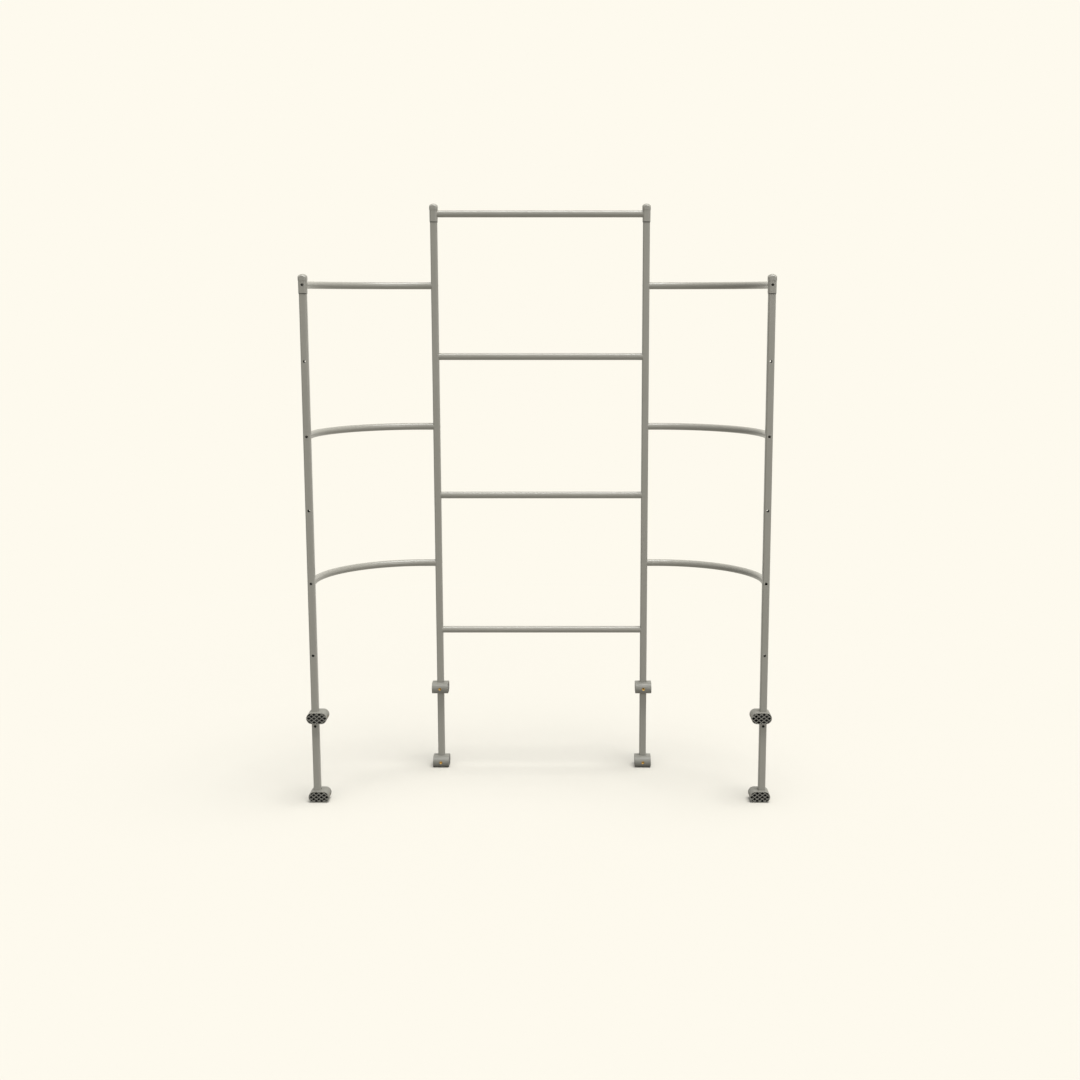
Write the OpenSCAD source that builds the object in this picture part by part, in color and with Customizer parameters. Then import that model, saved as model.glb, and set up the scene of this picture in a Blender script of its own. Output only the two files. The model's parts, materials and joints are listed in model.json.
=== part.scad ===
// Espalier frame: a bolted tube trellis that stands round three sides of what it is fastened to.
// Two tall inner posts carry straight bars. A shorter outer post on each side carries bars bent
// through a quarter circle. Blocks on the posts have round noses, each with a thread for a bolt.
// Front is -Y, up is +Z, and the origin is on the ground under the middle of the frame.

/* [Layout] */
// Distance between the two inner posts, axis to axis
inner_span = 610; // [420:1:900]
// Distance from an inner post to its outer post, sideways and front to back alike
corner_reach = 322; // [220:1:450]
// Height of the lowest hole level above the ground
first_level = 218; // [205:0.5:222]
// Height from one hole level to the next
level_pitch = 203; // [150:1:260]
// Straight bars between the inner posts
centre_bars = 4; // [2:1:5]

/* [Posts] */
// Width of the square post tube
post_w = 20; // [18:0.5:26]
// Wall of the post tube
post_wall = 1.2; // [0.8:0.1:2.5]
// Outer corner radius of the post tube
post_corner = 4; // [3:0.5:6]

/* [Bars] */
// Outer diameter of the round bar tube
bar_d = 20; // [16:0.5:20]
// Wall of the bar tube
bar_wall = 1.2; // [0.8:0.1:2]
// Straight length left beyond the plug before a side bar bends
bar_lead = 6; // [4:1:60]

/* [Caps] */
// Wall of the cap's sleeve
cap_wall = 1; // [0.8:0.1:3]
// Length of the sleeve below the bar that it carries
cap_skirt = 24; // [14:1:40]
// Height of the cap above that bar, to the top of its dome
cap_crown = 29; // [24:1:45]
// How far the crown stands out over the sleeve
cap_brim = 0.8; // [0.3:0.1:2]
// Gap between the bar and the crown's brim above it
brim_gap = 1; // [0.5:0.5:4]
// Rise of the domed roof from the middle of an edge
cap_dome = 5.5; // [2:0.5:6]
// Depth from the top of the dome to the end of the post inside
cap_roof = 9; // [8:0.5:14]
// Height of the narrower lip at the sleeve's lower edge
cap_lip = 2; // [1:0.5:5]
// How far the lip stands in from the sleeve
cap_lip_step = 0.5; // [0.2:0.1:0.6]

/* [Screws] */
// Diameter of the screw's shank
screw_d = 4; // [3:0.5:6]
// How far a screw reaches into the bar's plug
screw_bite = 16; // [8:1:18]
// Diameter of the screw's round head, which bears on the inside of the post
head_d = 7; // [6.5:0.5:9]
// Height of the head
head_h = 4; // [3:0.5:6]
// Width of the hex socket across its flats
socket_w = 3; // [2:0.5:4]
// Depth of the hex socket
socket_depth = 2.2; // [1:0.1:2.6]

/* [Bar plugs] */
// Length of the threaded plug inside each bar end
plug_length = 20; // [18:1:40]

/* [Valley blocks] */
// Height of a block, and so of its round nose
block_h = 32; // [28:1:44]
// Reach of the round end behind the post's axis
block_back = 22; // [20:0.5:40]
// Reach of the round nose ahead of the post's axis
block_nose = 35; // [34:0.5:60]
// Width of a block, from one lattice side to the other
block_w = 48; // [40:1:80]
// Height from the lower blocks to the upper blocks
block_rise = 228.6; // [222:0.1:236]
// Rim left round the lattice
block_rim = 1.6; // [1.2:0.1:5]
// Thickness of a lattice rib
rib_t = 2; // [1.2:0.1:3.5]
// Width of one lattice diamond, from rib to rib
diamond_w = 14.5; // [10:0.5:24]
// Height of one lattice diamond, from rib to rib
diamond_h = 11; // [8:0.5:18]
// Thickness of the web halfway through a block
web_t = 4; // [2:0.5:10]
// Wall of the sleeve that holds the post
sleeve_wall = 3; // [2:0.5:5]
// Floor under the post in a lower block
socket_floor = 4; // [3:0.5:8]

/* [Inserts] */
// Thread diameter of the insert in a block's nose
thread_d = 6; // [4:1:7]
// Outer diameter of the insert
insert_d = 9; // [8.5:0.5:12]
// Length of the insert
insert_length = 14; // [8:1:18]
// Depth of the insert's mouth behind the tip of the nose
insert_depth = 1; // [0.5:0.5:3]
// Wall of the boss round the insert
boss_wall = 2.5; // [1.5:0.5:3]

/* [Clearances] */
// Gap between a post and the cap on it
cap_gap = 0.2; // [0.1:0.05:0.5]
// Gap between a post and the block that slides on it
slide_gap = 0.3; // [0.2:0.05:0.6]
// Gap round a pressed or threaded piece
press_gap = 0.05; // [0.02:0.01:0.1]
// Gap round a screw's shank in the wall of the post
shank_gap = 0.5; // [0.2:0.05:1]
// Gap round a screw's head in the hole that lets it into the post
head_gap = 0.2; // [0.1:0.05:0.5]

/* [Hidden] */
$fn = 64;
// How far a cut runs past the face that it opens
overrun = 2;

paint = [0.56, 0.55, 0.51];
moulded = [0.45, 0.44, 0.41];
plated = [0.62, 0.61, 0.58];
brass = [0.78, 0.62, 0.32];
zinc = [0.66, 0.67, 0.68];

// Posts are numbered as in this list: even numbers are on the left, and the first two are inner posts.
places = ["inner_left", "inner_right", "outer_left", "outer_right"];
post_numbers = [for (i = [0 : len(places) - 1]) i];
sides = ["left", "right"];
side_bars = centre_bars - 1;

inner_x = inner_span / 2;
outer_x = inner_x + corner_reach;
outer_y = -(corner_reach + block_back - block_w / 2) / 2;
inner_y = outer_y + corner_reach;

// Centre bars lie on odd hole levels and side bars on even ones, counted up from the spare level 0.
top_centre = 2 * centre_bars - 1;
top_side = 2 * side_bars;

// Each level of a post has a large hole that lets a screw's head in, and a small one opposite for its shank
access_d = head_d + 2 * head_gap;
shank_hole_d = screw_d + 2 * shank_gap;
// Distance from a post's axis to the inside of its wall
inside_w = post_w / 2 - post_wall;
cap_w = post_w + 2 * (cap_gap + cap_wall);
cap_corner = post_corner + cap_gap + cap_wall;
crown_w = cap_w + 2 * cap_brim;
crown_corner = cap_corner + cap_brim;
// Height of the crown's lower edge above the bar's axis
crown_foot = bar_d / 2 + brim_gap;
dome_r = (pow(cap_dome, 2) + pow(crown_w / 2, 2)) / (2 * cap_dome);
bar_bore = bar_d - 2 * bar_wall;
bend_r = corner_reach - post_w / 2 - plug_length - bar_lead;
sleeve_w = post_w + 2 * (slide_gap + sleeve_wall);
sleeve_corner = post_corner + slide_gap + sleeve_wall;
lower_z = block_h / 2;
upper_z = lower_z + block_rise;
// Centres of the two round ends of a block, along its nose direction
back_x = block_h / 2 - block_back;
nose_x = block_nose - block_h / 2;
insert_start = block_nose - insert_depth - insert_length;
// A diamond pocket is the lattice diamond less half a rib on each side
pocket_share = 1 - rib_t * norm([diamond_w, diamond_h]) / (diamond_w * diamond_h);
// How far past the rim a pocket's centre may lie, as a share of half its height
edge_share = 0.6;
pocket_limit = block_h / 2 - block_rim + edge_share * pocket_share * diamond_h / 2;

function level(n) = first_level + n * level_pitch;
function is_inner(i) = i < 2;
function side_sign(i) = i % 2 == 0 ? -1 : 1;
function top_level(i) = is_inner(i) ? top_centre : top_side;

// Hole levels of post i that carry a bar, and the way the bar leaves along the post's own X
function carried(i) = [for (n = [is_inner(i) ? 1 : 2 : is_inner(i) ? 1 : 2 : top_level(i)]) n];
function bar_way(i, n) = is_inner(i) && n % 2 == 0 ? -1 : 1;

// Distance from a post's axis to the face that a bar seats on
function seat(i, n) = n == top_level(i) ? cap_w / 2 : post_w / 2;
function seat_corner(i, n) = n == top_level(i) ? cap_corner : post_corner;

// Does a pocket centred at x, z open inside the rim of a block, whole or cut off by the rim?
function in_lattice(x, z) = norm([max(back_x - x, 0, x - nose_x), z]) < pocket_limit;

// Stands children on post i. Its own X runs inwards on an inner post and backwards on an outer post.
module at_post(i) {
    if (is_inner(i))
        translate([side_sign(i) * inner_x, inner_y, 0]) rotate(side_sign(i) < 0 ? 0 : 180) children();
    else
        translate([side_sign(i) * outer_x, outer_y, 0]) rotate(90) children();
}

// Turns the Z axis of children to the post's own X
module along_x() {
    rotate([0, 90, 0]) children();
}

module round_square(w, r) {
    square([w, w - 2 * r], center = true);
    square([w - 2 * r, w], center = true);
    for (x = [-1, 1], y = [-1, 1])
        translate([x, y] * (w / 2 - r)) circle(r);
}

// Outline of post i where a bar meets it, as a cutter that copes the bar's end
module bar_end_cutter(i, n) {
    at_post(i)
        translate([0, 0, level(n)])
            linear_extrude(bar_d + 2 * overrun, center = true)
                round_square(2 * seat(i, n), seat_corner(i, n));
}

// Cutter for the two holes on level n of post i, in a tube of width w: the small one is on the bar's side
module screw_holes(i, n, w) {
    rotate([0, bar_way(i, n) * 90, 0]) {
        cylinder(d = shank_hole_d, h = w / 2 + overrun);
        translate([0, 0, -w / 2 - overrun]) cylinder(d = access_d, h = w / 2 + overrun);
    }
}

module post(i) {
    top = level(top_level(i)) + cap_crown - cap_roof;
    color(paint)
        at_post(i)
            difference() {
                translate([0, 0, socket_floor])
                    linear_extrude(top - socket_floor)
                        difference() {
                            round_square(post_w, post_corner);
                            round_square(2 * inside_w, post_corner - post_wall);
                        }
                for (n = [0 : top_level(i)])
                    translate([0, 0, level(n)]) screw_holes(i, n, post_w);
            }
}

// The space above a cap's domed roof, about the dome's centre
module above_dome() {
    half = dome_r + overrun;
    difference() {
        translate([-half, -half, 0]) cube([2 * half, 2 * half, half + overrun]);
        along_x() sphere(dome_r);
    }
}

// The space round a cap where it stands in from its crown by step, from below the sleeve up to height z
module round_sleeve(step, z) {
    translate([0, 0, -cap_skirt - overrun])
        linear_extrude(cap_skirt + overrun + z)
            difference() {
                square(crown_w + 2 * overrun, center = true);
                round_square(crown_w - 2 * step, crown_corner - step);
            }
}

module cap(i) {
    color(paint)
        at_post(i)
            translate([0, 0, level(top_level(i))])
                difference() {
                    translate([0, 0, -cap_skirt])
                        linear_extrude(cap_skirt + cap_crown + overrun) round_square(crown_w, crown_corner);
                    translate([0, 0, cap_crown - dome_r]) above_dome();
                    round_sleeve(cap_brim, crown_foot);
                    round_sleeve(cap_brim + cap_lip_step, cap_lip - cap_skirt);
                    translate([0, 0, -cap_skirt - overrun])
                        linear_extrude(cap_skirt + overrun + cap_crown - cap_roof)
                            round_square(post_w + 2 * cap_gap, post_corner + cap_gap);
                    screw_holes(i, top_level(i), cap_w);
                }
}

module centre_bar(k) {
    n = 2 * k - 1;
    length = inner_span - 2 * (seat(0, n) - seat_corner(0, n));
    color(paint)
        difference() {
            translate([0, inner_y, level(n)])
                along_x()
                    linear_extrude(length, center = true)
                        difference() {
                            circle(d = bar_d);
                            circle(d = bar_bore);
                        }
            for (i = [0, 1]) bar_end_cutter(i, n);
        }
}

// Solid round rod of diameter d along a left-hand side bar's middle line, run past both ends by extra
module side_path(n, d, extra) {
    inner_end = post_w / 2 - post_corner - extra;
    outer_end = seat(2, n) - seat_corner(2, n) - extra;
    lead = corner_reach - bend_r;
    translate([-inner_x - lead, inner_y, level(n)])
        along_x() cylinder(d = d, h = lead - inner_end);
    translate([-inner_x - lead, inner_y - bend_r, level(n)])
        rotate(90) rotate_extrude(angle = 90) translate([bend_r, 0]) circle(d = d);
    translate([-outer_x, outer_y + outer_end, level(n)])
        rotate([-90, 0, 0]) cylinder(d = d, h = lead - outer_end);
}

module side_bar(s, k) {
    n = 2 * k;
    color(paint)
        mirror([s, 0, 0])
            difference() {
                side_path(n, bar_d, 0);
                side_path(n, bar_bore, overrun);
                bar_end_cutter(0, n);
                bar_end_cutter(2, n);
            }
}

// Plug in the end of the bar on level n of post i
module plug(i, n) {
    color(zinc)
        at_post(i)
            translate([bar_way(i, n) * seat(i, n), 0, level(n)])
                rotate([0, bar_way(i, n) * 90, 0])
                    difference() {
                        cylinder(d = bar_bore - 2 * press_gap, h = plug_length);
                        translate([0, 0, -overrun])
                            cylinder(d = screw_d + 2 * press_gap, h = plug_length + 2 * overrun);
                    }
}

module centre_bar_plugs() {
    for (i = [0, 1], n = [1 : 2 : top_centre]) plug(i, n);
}

module side_bar_plugs(s) {
    for (i = [s, s + 2], n = [2 : 2 : top_side]) plug(i, n);
}

// Screw along Z, with the head's seat at zero and a hex socket in its top
module screw(length) {
    cylinder(d = screw_d, h = length);
    difference() {
        translate([0, 0, -head_h]) cylinder(d = head_d, h = head_h);
        translate([0, 0, -head_h - overrun])
            cylinder(d = socket_w / cos(30), h = socket_depth + overrun, $fn = 6);
    }
}

module screws(i) {
    color(plated)
        at_post(i)
            for (n = carried(i))
                translate([bar_way(i, n) * inside_w, 0, level(n)])
                    rotate([0, bar_way(i, n) * 90, 0])
                        screw(seat(i, n) - inside_w + screw_bite);
}

// Side outline of a block, with its nose along X and Y up, drawn in by inset
module block_outline(inset) {
    r = block_h / 2 - inset;
    translate([back_x, 0]) circle(r);
    translate([nose_x, 0]) circle(r);
    translate([back_x, -r]) square([nose_x - back_x, 2 * r]);
}

// Extrudes a side outline by width, level and square to the nose, centred on the post
module along_wall(width) {
    rotate([90, 0, 0]) linear_extrude(width, center = true) children();
}

module diamond_pockets() {
    columns = ceil((block_nose + block_back) / diamond_w);
    rows = ceil(block_h / diamond_h);
    half = [diamond_w, diamond_h] / 2;
    for (i = [-2 * columns : 2 * columns], j = [-2 * rows : 2 * rows]) {
        x = i * half.x;
        z = j * half.y;
        if ((i + j) % 2 == 0 && in_lattice(x, z))
            translate([x, z])
                polygon(pocket_share * [[half.x, 0], [0, half.y], [-half.x, 0], [0, -half.y]]);
    }
}

// The space between the ribs, open on both sides of a block and closed off by its web and bosses
module lattice_space() {
    difference() {
        along_wall(block_w + 2 * overrun)
            intersection() {
                block_outline(block_rim);
                diamond_pockets();
            }
        along_wall(web_t) block_outline(-overrun);
        linear_extrude(block_h + 2 * overrun, center = true) round_square(sleeve_w, sleeve_corner);
        along_x() cylinder(d = insert_d + 2 * (press_gap + boss_wall), h = block_nose);
    }
}

// A block about the post's axis and its own middle height, with the post's hole closed by floor at the bottom
module valley_block(floor) {
    color(moulded)
        difference() {
            along_wall(block_w) block_outline(0);
            lattice_space();
            translate([0, 0, floor > 0 ? floor - block_h / 2 : -block_h / 2 - overrun])
                linear_extrude(block_h + 2 * overrun) round_square(post_w + 2 * slide_gap, post_corner + slide_gap);
            translate([insert_start, 0, 0])
                along_x() cylinder(d = insert_d + 2 * press_gap, h = block_nose);
        }
}

// Puts a block's or insert's own frame on post i at height z. The nose points to the front on an inner post,
// and to the middle on an outer post.
module at_wall(i, z) {
    at_post(i) translate([0, 0, z]) rotate(side_sign(i) * 90) children();
}

module lower_block(i) {
    at_wall(i, lower_z) valley_block(socket_floor);
}

module upper_block(i) {
    at_wall(i, upper_z) valley_block(0);
}

module insert() {
    color(brass)
        translate([insert_start, 0, 0])
            along_x()
                difference() {
                    cylinder(d = insert_d, h = insert_length);
                    translate([0, 0, -overrun])
                        cylinder(d = thread_d, h = insert_length + 2 * overrun);
                }
}

module upper_insert(i) {
    at_wall(i, upper_z) insert();
}

module lower_inserts() {
    for (i = post_numbers) at_wall(i, lower_z) insert();
}

for (i = post_numbers) {
    post(i);
    cap(i);
    screws(i);
    lower_block(i);
    upper_block(i);
    upper_insert(i);
}
for (k = [1 : centre_bars]) {
    centre_bar(k);
}
for (s = [0, 1], k = [1 : side_bars]) {
    side_bar(s, k);
}
for (s = [0, 1]) {
    side_bar_plugs(s);
}
centre_bar_plugs();
lower_inserts();
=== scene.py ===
# %% [markdown]
# # Dressing an espalier frame
# An espalier frame is a flat, open trellis of painted steel tube. This one has two tall posts with straight
# bars between them, a shorter post at each side with bars bent through a quarter circle, and moulded blocks
# with round noses near the foot of every post. The solids are already built at their real size. The lesson
# adds what a camera sees: a viewpoint, light, finishes, rounded edges, and the screws and threads that a
# plain solid leaves out.

# %% Load the solids
import json
import math

import bmesh
import bpy
from mathutils import Matrix, Vector

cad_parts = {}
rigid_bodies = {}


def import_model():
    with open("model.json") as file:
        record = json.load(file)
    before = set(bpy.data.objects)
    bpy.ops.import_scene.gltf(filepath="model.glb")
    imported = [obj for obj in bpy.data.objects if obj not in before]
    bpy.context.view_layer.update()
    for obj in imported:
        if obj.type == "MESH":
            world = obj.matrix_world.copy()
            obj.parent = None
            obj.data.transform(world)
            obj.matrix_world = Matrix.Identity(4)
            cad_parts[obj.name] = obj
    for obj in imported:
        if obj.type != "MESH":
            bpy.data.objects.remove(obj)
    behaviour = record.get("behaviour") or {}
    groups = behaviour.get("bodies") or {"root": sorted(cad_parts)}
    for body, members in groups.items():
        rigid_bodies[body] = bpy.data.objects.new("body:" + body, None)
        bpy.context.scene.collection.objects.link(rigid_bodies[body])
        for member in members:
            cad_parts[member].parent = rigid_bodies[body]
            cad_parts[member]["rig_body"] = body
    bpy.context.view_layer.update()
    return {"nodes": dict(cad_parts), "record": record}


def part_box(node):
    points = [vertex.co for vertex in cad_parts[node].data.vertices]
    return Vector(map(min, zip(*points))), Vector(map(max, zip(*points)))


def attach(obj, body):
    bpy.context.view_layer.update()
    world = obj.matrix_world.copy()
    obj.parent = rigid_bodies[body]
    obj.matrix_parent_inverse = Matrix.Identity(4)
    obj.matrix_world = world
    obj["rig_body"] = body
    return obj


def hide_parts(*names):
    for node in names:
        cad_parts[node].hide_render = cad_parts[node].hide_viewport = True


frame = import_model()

nodes = frame["nodes"]
record = frame["record"]
scene = bpy.context.scene
MM = 0.001

# %% [markdown]
# ## The viewpoint
# The portrait is taken with a normal lens from about four metres. The camera's eye is a little below the
# shorter posts' tops and tilted down, so upright posts draw together slightly towards the foot. The object
# sits left of the lens axis. Turning the camera to centre it would make the level bars run downhill, so the
# camera keeps its axis and shifts its sensor instead.

# %% Set the camera
image_px = 1080
focal_px = 1472
lens_axis_px = 576.0
sensor_mm = 36
eye = Vector((0.103, -4.150, 1.403))
tilt_down = math.radians(9.36)

camera_data = bpy.data.cameras.new("portrait_camera")
camera_data.sensor_width = sensor_mm
camera_data.lens = sensor_mm * focal_px / image_px
camera_data.shift_x = (image_px / 2 - lens_axis_px) / image_px
camera = bpy.data.objects.new("portrait_camera", camera_data)
camera.location = eye
camera.rotation_euler = (math.pi / 2 - tilt_down, 0, 0)
scene.collection.objects.link(camera)
scene.camera = camera
scene.view_settings.view_transform = "Standard"
print("lens", round(camera_data.lens, 1), "mm, shift", round(camera_data.shift_x, 4))

# %% [markdown]
# ## The lamps
# Lamps that stand close would light the tall posts more at the top than at the foot, and leave a bright
# spot on the floor. Sun lamps light everything alike, and a wide angle makes their shadows as soft as a big
# soft box's. One comes from overhead, and draws the bright line along the top of every bar and dome. The
# other comes from beside the camera, and keeps the front of the posts at about their own colour.

# %% Hang the lamps
def far_lamp(name, source, width_deg, strength):
    """Hangs a lamp far off in the direction of source, and returns how strongly it lights level ground."""
    data = bpy.data.lights.new(name, "SUN")
    data.angle = math.radians(width_deg)
    data.energy = strength
    lamp = bpy.data.objects.new(name, data)
    lamp.rotation_euler = Vector(source).to_track_quat("Z", "Y").to_euler()
    scene.collection.objects.link(lamp)
    return strength * Vector(source).normalized().z / math.pi


level_light = far_lamp("overhead_lamp", source=(0.15, -0.10, 1.0), width_deg=40, strength=3.8)
level_light += far_lamp("front_lamp", source=(0.50, -1.0, 0.30), width_deg=40, strength=0.90)
print("the lamps light level ground to", round(level_light, 3), "of its colour")

# %% [markdown]
# ## The studio
# The background is a seamless cream sheet. Close to the object the floor is lit like any matt surface, so
# that it takes a shadow, and further out it turns into a plain glow of the same cream, which joins the sky
# with no line. The lit floor's own colour is worked out from the light that falls on it, so that it comes
# out as that cream. Light that has bounced sees a darker sky and floor: a glowing sheet all round would
# light the bars from below as strongly as the lamps light them from above.

# %% Colour and shader helpers
def from_srgb(*levels):
    """Turns colour levels from 0 to 255, as on a paint chart, into the linear values that shaders use."""
    shares = [level / 255 for level in levels]
    return (*[s / 12.92 if s <= 0.04045 else ((s + 0.055) / 1.055) ** 2.4 for s in shares], 1.0)


def add_node(tree, kind, **values):
    """Adds a node and sets its properties, or its inputs where the name is an input's."""
    node = tree.nodes.new(kind)
    for name, value in values.items():
        label = name.replace("_", " ").title()
        if label in node.inputs:
            node.inputs[label].default_value = value
        else:
            setattr(node, name, value)
    return node


def seen_directly(tree):
    """A mask: one where the camera, a reflection or a see-through ray looks, and zero for bounced light."""
    path = add_node(tree, "ShaderNodeLightPath")
    seen = path.outputs["Is Camera Ray"]
    for ray in ("Is Glossy Ray", "Is Transmission Ray"):
        either = add_node(tree, "ShaderNodeMath", operation="MAXIMUM")
        tree.links.new(seen, either.inputs[0])
        tree.links.new(path.outputs[ray], either.inputs[1])
        seen = either.outputs[0]
    return seen


cream = from_srgb(254, 250, 238)
print("cream", [round(v, 3) for v in cream[:3]])

# %% Make the sky
sky_light = (0.39, 0.41, 0.43, 1.0)

world = bpy.data.worlds.new("studio_sky")
scene.world = world
world.use_nodes = True
sky = world.node_tree
sky.nodes.clear()
fill = add_node(sky, "ShaderNodeBackground", color=sky_light, strength=1.0)
backdrop = add_node(sky, "ShaderNodeBackground", color=cream, strength=1.0)
choose = add_node(sky, "ShaderNodeMixShader")
sky_out = add_node(sky, "ShaderNodeOutputWorld")
sky.links.new(seen_directly(sky), choose.inputs["Fac"])
sky.links.new(fill.outputs[0], choose.inputs[1])
sky.links.new(backdrop.outputs[0], choose.inputs[2])
sky.links.new(choose.outputs[0], sky_out.inputs["Surface"])
print("the sky adds", sky_light[:3])

# %% Lay the floor
floor_half = 30.0

floor_mesh = bpy.data.meshes.new("studio_floor")
corners = [(x * floor_half, y * floor_half, 0) for x, y in ((-1, -1), (1, -1), (1, 1), (-1, 1))]
floor_mesh.from_pydata(corners, [], [(0, 1, 2, 3)])
floor = bpy.data.objects.new("studio_floor", floor_mesh)
scene.collection.objects.link(floor)
print("floor", 2 * floor_half, "m wide")

# %% Finish the floor
lit_radius = 1.3
glow_radius = 3.0
bounce_colour = (0.22, 0.21, 0.19, 1.0)
floor_colour = (*[c / (level_light + s) for c, s in zip(cream[:3], sky_light)], 1.0)

sheet = bpy.data.materials.new("cream_sheet")
sheet.use_nodes = True
tree = sheet.node_tree
tree.nodes.clear()
matt = add_node(tree, "ShaderNodeBsdfDiffuse", color=floor_colour)
glow = add_node(tree, "ShaderNodeEmission", color=cream, strength=1.0)
dim = add_node(tree, "ShaderNodeBsdfDiffuse", color=bounce_colour)
where = add_node(tree, "ShaderNodeNewGeometry")
reach = add_node(tree, "ShaderNodeVectorMath", operation="LENGTH")
fade = add_node(
    tree, "ShaderNodeMapRange", interpolation_type="SMOOTHSTEP", from_min=lit_radius, from_max=glow_radius
)
shown = add_node(tree, "ShaderNodeMixShader")
surface = add_node(tree, "ShaderNodeMixShader")
floor_out = add_node(tree, "ShaderNodeOutputMaterial")
tree.links.new(where.outputs["Position"], reach.inputs[0])
tree.links.new(reach.outputs["Value"], fade.inputs["Value"])
tree.links.new(fade.outputs["Result"], shown.inputs["Fac"])
tree.links.new(matt.outputs[0], shown.inputs[1])
tree.links.new(glow.outputs[0], shown.inputs[2])
tree.links.new(seen_directly(tree), surface.inputs["Fac"])
tree.links.new(dim.outputs[0], surface.inputs[1])
tree.links.new(shown.outputs[0], surface.inputs[2])
tree.links.new(surface.outputs[0], floor_out.inputs["Surface"])
floor_mesh.materials.append(sheet)
print("floor colour", [round(v, 3) for v in floor_colour[:3]])

# %% [markdown]
# ## Shared surface effects
# Three effects turn up in nearly every finish here. Paint, plastic and metal all have a fine uneven skin,
# and drift a little in tone over their length. Rounded edges are lightened, partly as wear where hands and
# ties rub and partly as a painted highlight along the edge. And recesses are darkened with painted shade.
# The nodes could be copied into each finish, but then every change would be made five times. So each effect
# is a node group that is built once, and every finish sets its own amounts. The last two groups read marks
# that the meshes carry.

# %% Group: fine grain
def new_group(name, inputs, outputs):
    """Starts a node group with number inputs and outputs, and returns it with its two end nodes."""
    group = bpy.data.node_groups.new(name, "ShaderNodeTree")
    for label, value in inputs.items():
        socket = group.interface.new_socket(label, in_out="INPUT", socket_type="NodeSocketFloat")
        socket.default_value = value
    for label in outputs:
        group.interface.new_socket(label, in_out="OUTPUT", socket_type="NodeSocketFloat")
    return group, group.nodes.new("NodeGroupInput"), group.nodes.new("NodeGroupOutput")


grain, grain_in, grain_out = new_group(
    "Fine grain", {"Grain Per Metre": 600.0, "Drift Per Metre": 4.0}, ("Height", "Drift")
)
spot = add_node(grain, "ShaderNodeTexCoord")
for rate, output in (("Grain Per Metre", "Height"), ("Drift Per Metre", "Drift")):
    noise = add_node(grain, "ShaderNodeTexNoise", detail=3.0, roughness=0.6)
    grain.links.new(spot.outputs["Object"], noise.inputs["Vector"])
    grain.links.new(grain_in.outputs[rate], noise.inputs["Scale"])
    grain.links.new(noise.outputs["Fac"], grain_out.inputs[output])
print("group", grain.name, "with", len(grain.nodes), "nodes")

# %% Groups: worn and highlighted edges, and painted shade in recesses
def marked_patches(name, mark, low, high):
    """A group whose mask is a mesh mark, broken up by patches of noise between low and high."""
    group, ends_in, ends_out = new_group(name, {"Patches Per Metre": 220.0, "Amount": 0.5}, ("Mask",))
    spot = add_node(group, "ShaderNodeTexCoord")
    marked = add_node(group, "ShaderNodeAttribute", attribute_name=mark)
    noise = add_node(group, "ShaderNodeTexNoise", detail=4.0, roughness=0.7)
    broken = add_node(group, "ShaderNodeMapRange", from_min=low, from_max=high)
    patchy = add_node(group, "ShaderNodeMath", operation="MULTIPLY")
    scaled = add_node(group, "ShaderNodeMath", operation="MULTIPLY", use_clamp=True)
    group.links.new(spot.outputs["Object"], noise.inputs["Vector"])
    group.links.new(ends_in.outputs["Patches Per Metre"], noise.inputs["Scale"])
    group.links.new(noise.outputs["Fac"], broken.inputs["Value"])
    group.links.new(marked.outputs["Fac"], patchy.inputs[0])
    group.links.new(broken.outputs["Result"], patchy.inputs[1])
    group.links.new(patchy.outputs[0], scaled.inputs[0])
    group.links.new(ends_in.outputs["Amount"], scaled.inputs[1])
    group.links.new(scaled.outputs[0], ends_out.inputs["Mask"])
    print("group", name, "reads", mark)
    return group


# One mark lightens rounded edges, partly as wear and partly as a painted highlight. The other darkens
# recesses with painted shade.
WEAR_AND_HIGHLIGHT, PAINTED_SHADE = "edge_wear_and_highlight", "painted_shade"
worn_and_highlighted_edges = marked_patches("Worn and highlighted edges", WEAR_AND_HIGHLIGHT, low=0.35, high=0.70)
painted_recess_shade = marked_patches("Painted shade in recesses", PAINTED_SHADE, low=0.0, high=0.45)
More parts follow.
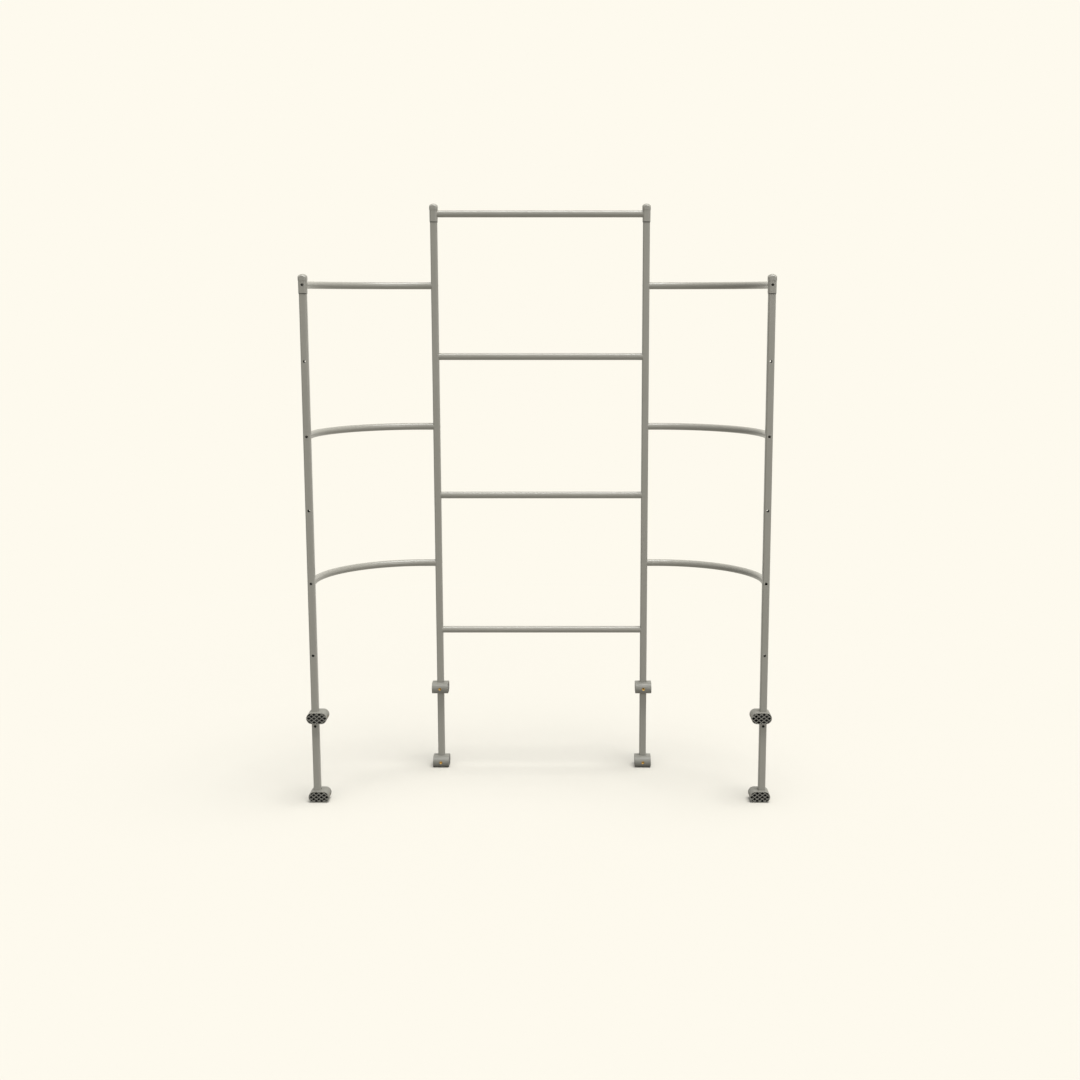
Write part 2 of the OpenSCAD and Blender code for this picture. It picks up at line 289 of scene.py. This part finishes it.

# %% [markdown]
# ## The finishes
# The tubes and caps are powder coated, the blocks are moulded in plastic, the screws are plated, the
# inserts are brass and the plugs in the bars are cast zinc. Pictures of such surfaces could be wrapped
# round the pieces, but they blur from close by, while noise from nodes stays sharp. So a finish is a
# Principled shader whose base colour, roughness and normal come from the groups. One function wires them,
# because the finishes differ only in their amounts: the two ends of the tone, the lighter colour of worn
# and highlighted edges, the dark colour of painted shade in recesses, the roughness range, and the size
# and depth of the grain.

# %% Finish builder
def finish(name, tones, wear_and_highlight, painted_shade, rough, grain_mm, depth_mm, drift_rate, **constants):
    """Makes a finish. Edge wear and highlight, and painted shade, each pair a colour and an amount. Constants
    set the shader itself.
    """
    material = bpy.data.materials.new(name)
    material.use_nodes = True
    tree = material.node_tree
    shader = tree.nodes["Principled BSDF"]
    for label, value in constants.items():
        shader.inputs[label.title()].default_value = value

    skin = add_node(tree, "ShaderNodeGroup", node_tree=grain)
    skin.inputs["Grain Per Metre"].default_value = 1 / (grain_mm * MM)
    skin.inputs["Drift Per Metre"].default_value = drift_rate
    tone = add_node(tree, "ShaderNodeMix", data_type="RGBA")
    tone.inputs["A"].default_value, tone.inputs["B"].default_value = tones
    tree.links.new(skin.outputs["Drift"], tone.inputs["Factor"])
    colour = tone.outputs["Result"]
    # Painted shade darkens the recesses, and then rounded edges are lightened, as wear and as a painted
    # highlight.
    for group, (tint, amount) in ((painted_recess_shade, painted_shade), (worn_and_highlighted_edges, wear_and_highlight)):
        mask = add_node(tree, "ShaderNodeGroup", node_tree=group)
        mask.inputs["Amount"].default_value = amount
        mixed = add_node(tree, "ShaderNodeMix", data_type="RGBA")
        mixed.inputs["B"].default_value = tint
        tree.links.new(mask.outputs["Mask"], mixed.inputs["Factor"])
        tree.links.new(colour, mixed.inputs["A"])
        colour = mixed.outputs["Result"]
    tree.links.new(colour, shader.inputs["Base Color"])

    sheen = add_node(tree, "ShaderNodeMapRange")
    sheen.inputs["To Min"].default_value, sheen.inputs["To Max"].default_value = rough
    bump = add_node(tree, "ShaderNodeBump", distance=depth_mm * MM)
    tree.links.new(skin.outputs["Height"], sheen.inputs["Value"])
    tree.links.new(sheen.outputs["Result"], shader.inputs["Roughness"])
    tree.links.new(skin.outputs["Height"], bump.inputs["Height"])
    tree.links.new(bump.outputs["Normal"], shader.inputs["Normal"])
    print("finish", name, "with", len(tree.nodes), "nodes")
    return material


print("every finish uses the groups", [group.name for group in (grain, painted_recess_shade, worn_and_highlighted_edges)])

# %% Paint and plastic
# After the tones, a finish gives the lighter colour of its rounded edges, partly wear and partly a painted
# highlight, then the dark colour of the painted shade in its recesses.
paint = finish(
    "warm_grey_powder_coat",
    tones=(from_srgb(144, 141, 131), from_srgb(154, 151, 141)),
    wear_and_highlight=(from_srgb(184, 181, 172), 0.35),
    painted_shade=(from_srgb(38, 37, 34), 0.95),
    rough=(0.22, 0.38), grain_mm=1.6, depth_mm=0.05, drift_rate=5.0,
)
plastic = finish(
    "moulded_grey_plastic",
    tones=(from_srgb(120, 118, 110), from_srgb(132, 130, 121)),
    wear_and_highlight=(from_srgb(182, 179, 170), 0.85),
    painted_shade=(from_srgb(26, 25, 23), 1.0),
    rough=(0.42, 0.62), grain_mm=0.5, depth_mm=0.04, drift_rate=30.0,
)

# %% Steel, brass and zinc
# The same two colours follow the tones here: edge wear with a painted highlight, then painted shade.
plated_steel = finish(
    "plated_screw_steel",
    tones=(from_srgb(132, 129, 121), from_srgb(152, 149, 141)),
    wear_and_highlight=(from_srgb(190, 187, 180), 0.5),
    painted_shade=(from_srgb(14, 13, 12), 1.0),
    rough=(0.28, 0.42), grain_mm=0.3, depth_mm=0.01, drift_rate=120.0, metallic=0.8,
)
brass = finish(
    "turned_brass",
    tones=(from_srgb(176, 138, 74), from_srgb(205, 168, 98)),
    wear_and_highlight=(from_srgb(226, 196, 132), 0.4),
    painted_shade=(from_srgb(84, 62, 30), 0.6),
    rough=(0.24, 0.40), grain_mm=0.4, depth_mm=0.01, drift_rate=150.0, metallic=1.0,
)
zinc = finish(
    "cast_zinc",
    tones=(from_srgb(168, 170, 172), from_srgb(190, 191, 192)),
    wear_and_highlight=(from_srgb(206, 207, 208), 0.3),
    painted_shade=(from_srgb(90, 90, 90), 0.5),
    rough=(0.35, 0.55), grain_mm=0.6, depth_mm=0.03, drift_rate=60.0, metallic=1.0,
)

# %% [markdown]
# ## Bars and their plugs
# The round bars and the threaded plugs inside their ends keep their solids, whose curves are already
# smooth, and only take a finish. Remaking a plain tube would add nothing that shows.

# %% Finish the bars
def dress(node, material):
    """Gives a solid its finish."""
    nodes[node].data.materials.clear()
    nodes[node].data.materials.append(material)


bars = [name for name in nodes if "_bar_" in name and "plugs" not in name]
plugs = [name for name in nodes if "plugs" in name]
for name in bars:
    dress(name, paint)
for name in plugs:
    dress(name, zinc)
print("painted", len(bars), "bars; plugs in", len(plugs), "groups")

# %% [markdown]
# ## Softened edges
# A solid has knife edges, and nothing moulded, pressed or painted has: a radius of a third of a millimetre
# is what catches the light along a rib or round a hole. A shader can bend the light at an edge as if it
# were round, but the outline stays sharp and an exported mesh loses it. So posts, caps and blocks are
# remade from their own solids. The copy is welded, its flat triangles are merged, and a bevel rounds each
# edge that turns sharply. A curved face may have points so close to such an edge that the bevel would fold
# over them, so these are taken out first. The middle line of the bevel is marked to be lightened, as wear
# and as a painted highlight, and a rule for each kind of piece marks where painted shade goes.

# %% Pieces from meshes
shade_turn = math.radians(50)


def new_piece(name, work, material, node):
    """Turns a bmesh into a piece with a finish, which replaces a solid and rides on that solid's body."""
    mesh = bpy.data.meshes.new(name)
    work.to_mesh(mesh)
    work.free()
    mesh.materials.append(material)
    mesh.polygons.foreach_set("use_smooth", [True] * len(mesh.polygons))
    mesh.set_sharp_from_angle(angle=shade_turn)
    piece = bpy.data.objects.new(name, mesh)
    scene.collection.objects.link(piece)
    keep_flats = piece.modifiers.new("keep_flats", "WEIGHTED_NORMAL")
    keep_flats.keep_sharp = True
    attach(piece, nodes[node]["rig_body"])
    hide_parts(node)
    return piece


print("pieces shade as smooth up to a turn of", round(math.degrees(shade_turn)), "degrees")

# %% Edge softener
weld_gap = 0.002 * MM
flat_turn = math.radians(0.6)
sharp_turn = math.radians(15)
clear_share = 1.5


def welded_copy(node):
    """A bmesh of a solid, with its split points joined."""
    work = bmesh.new()
    work.from_mesh(nodes[node].data)
    bmesh.ops.remove_doubles(work, verts=work.verts, dist=weld_gap)
    return work


def clear_the_way(work, sharp, radius):
    """Takes out the points of a curved face that lie too close to a sharp edge for its rounding to pass."""
    ends = {vert for edge in sharp for vert in edge.verts}
    close = []
    for vert in work.verts:
        reaches = [edge.calc_length() for edge in vert.link_edges if edge.other_vert(vert) in ends]
        if vert not in ends and reaches and min(reaches) < clear_share * radius:
            close.append(vert)
    bmesh.ops.dissolve_verts(work, verts=close)


def soften(node, name, radius_mm, material, shade_rule):
    """Remakes a solid with rounded edges. The shade rule tells whether a point gets painted shade, as 0 or 1.
    """
    work = welded_copy(node)
    bmesh.ops.dissolve_limit(work, angle_limit=flat_turn, verts=work.verts, edges=work.edges)
    wear_and_highlight = work.verts.layers.float.new(WEAR_AND_HIGHLIGHT)
    painted_shade = work.verts.layers.float.new(PAINTED_SHADE)
    sharp = [edge for edge in work.edges if edge.is_manifold and edge.calc_face_angle() > sharp_turn]
    clear_the_way(work, sharp, radius_mm * MM)
    made = bmesh.ops.bevel(
        work, geom=sharp, offset=radius_mm * MM, offset_type="OFFSET", segments=2, profile=0.5, affect="EDGES"
    )
    rounded = set(made["faces"])
    # Points that the rule picks get painted shade. The bevel's middle line is lightened, as wear and as a
    # painted highlight.
    for vert in work.verts:
        vert[painted_shade] = shade_rule(vert.co)
        if vert.link_faces and all(face in rounded for face in vert.link_faces):
            vert[wear_and_highlight] = 1.0
    print(name, len(work.faces), "faces,", len(sharp), "edges rounded")
    return new_piece(name, work, material, node)


print("edges that turn by more than", round(math.degrees(sharp_turn)), "degrees are rounded")

# %% [markdown]
# ## Posts
# A post is a square tube with rounded corners and a pair of holes on each level. The holes look black from
# a few steps away, because little light gets into a tube. A black disc behind each hole would do from the
# front only, so the inside of the tube gets painted shade instead: a point is inside when it lies nearer
# to the axis than the middle of the wall.

# %% Soften the posts
post_corner_mm = 4.0
post_wall_mm = 1.2
post_edge_mm = 0.3
places = [name.removeprefix("post_") for name in nodes if name.startswith("post_")]


def inside_the_tube(low, high):
    """The rule for a post between two corners: one on the inside of its wall, and zero on its outside."""
    middle = (low + high) / 2
    straight = (high.x - low.x) / 2 - post_corner_mm * MM
    middle_r = (post_corner_mm - post_wall_mm / 2) * MM

    def rule(point):
        over = [max(abs(point[i] - middle[i]) - straight, 0) for i in (0, 1)]
        return float(math.hypot(*over) < middle_r)

    return rule


# The inside of every post gets painted shade.
for place in places:
    low, high = (Vector(end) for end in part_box(f"post_{place}"))
    soften(f"post_{place}", f"painted_post_{place}", post_edge_mm, paint, inside_the_tube(low, high))

# %% [markdown]
# ## Caps
# A cap is a thin sleeve over the post's end with a wider crown and a domed roof. Its lower lip stands in a
# little, and the line of shadow under it is what tells cap from post at a distance. The step is real and
# casts part of that shadow, and the lip also gets painted shade, which makes the line darker.

# %% Soften the caps
lip_mm = 2.0
cap_edge_mm = 0.4


def under_the_edge(lip_top):
    """The rule for a cap whose lip ends at that height: one on the lip, and zero above it."""
    return lambda point: float(point.z <= lip_top + weld_gap)


# Each cap's lip gets painted shade.
for place in places:
    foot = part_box(f"cap_{place}")[0][2]
    soften(f"cap_{place}", f"domed_cap_{place}", cap_edge_mm, paint, under_the_edge(foot + lip_mm * MM))

# %% [markdown]
# ## Lattice blocks
# A block is moulded with a diamond lattice on both flat sides, which saves plastic and keeps a part this
# thick from sinking in as it cools. The pockets end at a web halfway through, and look almost black from a
# few steps away. A dark pattern on a plain side would stay flat when the viewer moves, so the pockets are
# real, and painted shade in them adds to their own shadow. Their rib edges are lightened strongly, partly
# as wear and partly as a painted highlight. A point is in a pocket when it lies below the flat side and
# also within the round outline, which leaves the nose and the other outer faces in the open.

# %% Soften the blocks
below_edge = 0.2 * MM
block_edge_mm = 0.3


def in_a_pocket(low, high, across, along):
    """The rule for a block between two corners: one in a pocket or hole, and zero on the outside."""
    round_r = (high.z - low.z) / 2

    def rule(point):
        beyond = max(low[across] + round_r - point[across], 0, point[across] - high[across] + round_r)
        out = math.hypot(beyond, point.z - low.z - round_r)
        deep = min(point[along] - low[along], high[along] - point[along])
        return float(deep > below_edge and out < round_r - below_edge)

    return rule


# The pockets of every block get painted shade.
for place in places:
    across, along = (0, 1) if place.startswith("outer") else (1, 0)
    for row in ("lower", "upper"):
        node = f"{row}_block_{place}"
        low, high = (Vector(end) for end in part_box(node))
        soften(node, f"lattice_{node}", block_edge_mm, plastic, in_a_pocket(low, high, across, along))

# %% [markdown]
# ## Screws
# No screw head stands out from the posts: the head goes in through a hole in one wall, bears on the inside
# of the opposite wall and pulls the bar's plug against it. Cutting a hex socket out of a cylinder would
# leave long thin faces that shade badly. Such a screw is turned on a lathe, so here it is a row of rings
# from the socket's floor, up its wall, over the head and down the shank. All rings have the same number of
# points. The socket's rings are pulled out to a hexagon, and every second point of the head's rings stands
# in, as a knurl does.

# %% Ring helpers
ring_steps = 48


def round_ring(radius, height, knurl=0.0):
    """Points of a circle about Z. Every second one stands in by knurl."""
    ring = []
    for i in range(ring_steps):
        turn, reach = math.tau * i / ring_steps, radius - knurl * (i % 2)
        ring.append(Vector((reach * math.cos(turn), reach * math.sin(turn), height)))
    return ring


def hex_ring(across, height):
    """Points of a hexagon about Z, from its width across the flats."""
    sector = math.tau / 6
    ring = round_ring(across / 2, height)
    for point in ring:
        reach = 1 / math.cos(math.atan2(point.y, point.x) % sector - sector / 2)
        point.x, point.y = point.x * reach, point.y * reach
    return ring


def skin_rings(work, rings, place):
    """Joins rings into a closed surface, puts it at place and returns its rows of points."""
    rows = [[work.verts.new(place @ point) for point in ring] for ring in rings]
    for low, high in zip(rows, rows[1:]):
        for i in range(ring_steps):
            work.faces.new((low[i - 1], low[i], high[i], high[i - 1]))
    work.faces.new(rows[0])
    work.faces.new(rows[-1])
    return rows


print("rings of", ring_steps, "points")

# %% Measure the screws
def solids_of(node):
    """The points of each separate solid in a node."""
    work = welded_copy(node)
    seen = set()
    found = []
    for start in work.verts:
        if start in seen:
            continue
        seen.add(start)
        queue, points = [start], []
        while queue:
            vert = queue.pop()
            points.append(vert.co.copy())
            near = [edge.other_vert(vert) for edge in vert.link_edges]
            queue += [other for other in near if other not in seen]
            seen.update(near)
        found.append(points)
    work.free()
    return found


def screw_sizes(points):
    """The place of a screw's seat, its head's radius and height, and its shank's radius and length."""
    lows, highs = (Vector([pick(p[i] for p in points) for i in range(3)]) for pick in (min, max))
    middle = (lows + highs) / 2
    along = max(range(3), key=lambda i: highs[i] - lows[i])
    reaches = [math.hypot(*(p[i] - middle[i] for i in range(3) if i != along)) for p in points]
    head_r = max(reaches)
    head = [p[along] for p, reach in zip(points, reaches) if reach > head_r - weld_gap]
    way = 1 if highs[along] - max(head) > min(head) - lows[along] else -1
    seat, tip = (max(head), highs[along]) if way > 0 else (min(head), lows[along])
    shank_r = max(reach for p, reach in zip(points, reaches) if abs(p[along] - tip) < weld_gap)
    middle[along] = seat
    axis = Vector([way if i == along else 0 for i in range(3)])
    place = Matrix.Translation(middle) @ axis.to_track_quat("Z", "Y").to_matrix().to_4x4()
    return place, head_r, max(head) - min(head), shank_r, abs(tip - seat)


screws = {place: [screw_sizes(points) for points in solids_of(f"screws_{place}")] for place in places}
print("screws on each post:", {place: len(found) for place, found in screws.items()})

# %% Turn the screws
socket_across = 3.0 * MM
socket_depth = 2.2 * MM
screw_edge = 0.3 * MM
knurl_depth = 0.12 * MM


def turn_screw(work, place, head_r, head_h, shank_r, length):
    """Turns a screw with its seat at place; its socket gets painted shade, and its head's rim wear and a
    painted highlight.
    """
    socket_floor = socket_depth - head_h
    mouth_r = socket_across / 2 / math.cos(math.tau / 12)
    socket = [
        round_ring(socket_across / 6, socket_floor + screw_edge),
        hex_ring(socket_across, socket_floor),
        hex_ring(socket_across, screw_edge - head_h),
        round_ring(mouth_r, -head_h),
    ]
    barrel = [
        round_ring(head_r - screw_edge, -head_h),
        round_ring(head_r, screw_edge - head_h, knurl_depth),
        round_ring(head_r, -screw_edge, knurl_depth),
        round_ring(head_r - screw_edge, 0.0),
        round_ring(shank_r, 0.0),
    ]
    shank = [round_ring(shank_r, length - 2 * screw_edge), round_ring(shank_r - 2 * screw_edge, length)]
    rows = skin_rings(work, socket + barrel + shank, place)
    # The socket's rings get painted shade, and the rim of the head is lightened as wear and a painted
    # highlight.
    for mark, marked_rows in ((PAINTED_SHADE, rows[:3]), (WEAR_AND_HIGHLIGHT, rows[4:6])):
        for row in marked_rows:
            for vert in row:
                vert[work.verts.layers.float[mark]] = 1.0


for place in places:
    work = bmesh.new()
    work.verts.layers.float.new(WEAR_AND_HIGHLIGHT)
    work.verts.layers.float.new(PAINTED_SHADE)
    for measured in screws[place]:
        turn_screw(work, *measured)
    bmesh.ops.recalc_face_normals(work, faces=work.faces)
    new_piece(f"post_screws_{place}", work, plated_steel, f"screws_{place}")
    print("turned", len(screws[place]), "screws for the post", place)

# %% [markdown]
# ## Threaded inserts
# Each block's nose holds a brass insert that a bolt screws into. Its solid has a plain bore. Bump in the
# finish could hint at a thread, but it goes flat at the rim of the bore, where it shows most. So the thread
# is cut here as a lathe would cut it: one profile of root, flank and crest is swept round, and climbs one
# pitch in each turn. Every column of points repeats the profile, a little higher than its neighbour, and
# the ends are held at the insert's two faces, where a countersink opens them.

# %% Thread cutter
pitch = 1.0 * MM
thread_depth = 0.54 * MM
profile_shares = ((0.0, 0.0), (0.125, 0.0), (0.4375, 1.0), (0.6875, 1.0))
countersink = 0.5 * MM
insert_edge = 0.3 * MM


def thread_profile(climbed, bore_r, length):
    """Radius and height of the bore's points, where the thread has climbed by a share of its pitch."""
    profile = []
    for turn in range(-1, round(length / pitch) + 1):
        for climb, depth in profile_shares:
            height = min(max((turn + climb + climbed) * pitch, 0.0), length)
            opened = bore_r + countersink - min(height, length - height)
            profile.append((max(bore_r - depth * thread_depth, opened), height))
    return profile


def cut_insert(work, mount, outer_r):
    """Adds the insert that a threaded mount describes, with its mouth along the mount's axis."""
    axis = Vector(mount["axis"])
    bore_r = mount["dims"]["r_mm"] * MM
    length = mount["dims"]["length_mm"] * MM
    start = Vector(mount["pos_m"]) - axis * length / 2
    place = Matrix.Translation(start) @ axis.to_track_quat("Z", "Y").to_matrix().to_4x4()
    inset_r = outer_r - insert_edge
    outside = [(inset_r, length), (outer_r, length - insert_edge), (outer_r, insert_edge), (inset_r, 0.0)]
    columns = []
    for step in range(ring_steps + 1):
        profile = thread_profile(step / ring_steps, bore_r, length) + outside
        angle = math.tau * step / ring_steps
        turned = [Vector((r * math.cos(angle), r * math.sin(angle), h)) for r, h in profile]
        columns.append([work.verts.new(place @ point) for point in turned])
    for left, right in zip(columns, columns[1:]):
        for i in range(len(left)):
            work.faces.new((left[i - 1], right[i - 1], right[i], left[i]))


threads = {mount["name"]: mount for mount in record["mounts"] if mount["kind"] == "threaded_hole"}
print(len(threads), "threads with a pitch of", pitch / MM, "mm")

# %% Cut the inserts
def make_inserts(name, node, mounts):
    """Makes the inserts of one node as one piece."""
    low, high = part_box(node)
    outer_r = (high[2] - low[2]) / 2
    work = bmesh.new()
    for mount in mounts:
        cut_insert(work, mount, outer_r)
    bmesh.ops.remove_doubles(work, verts=work.verts, dist=weld_gap)
    bmesh.ops.dissolve_degenerate(work, edges=work.edges, dist=weld_gap)
    bmesh.ops.recalc_face_normals(work, faces=work.faces)
    print(name, len(work.faces), "faces,", sum(not edge.is_manifold for edge in work.edges), "open edges")
    return new_piece(name, work, brass, node)


for place in places:
    thread = threads[f"upper_wall_thread_{place}"]
    make_inserts(f"threaded_upper_insert_{place}", f"upper_insert_{place}", [thread])
make_inserts("threaded_lower_inserts", "lower_inserts", [threads[f"lower_wall_thread_{p}"] for p in places])
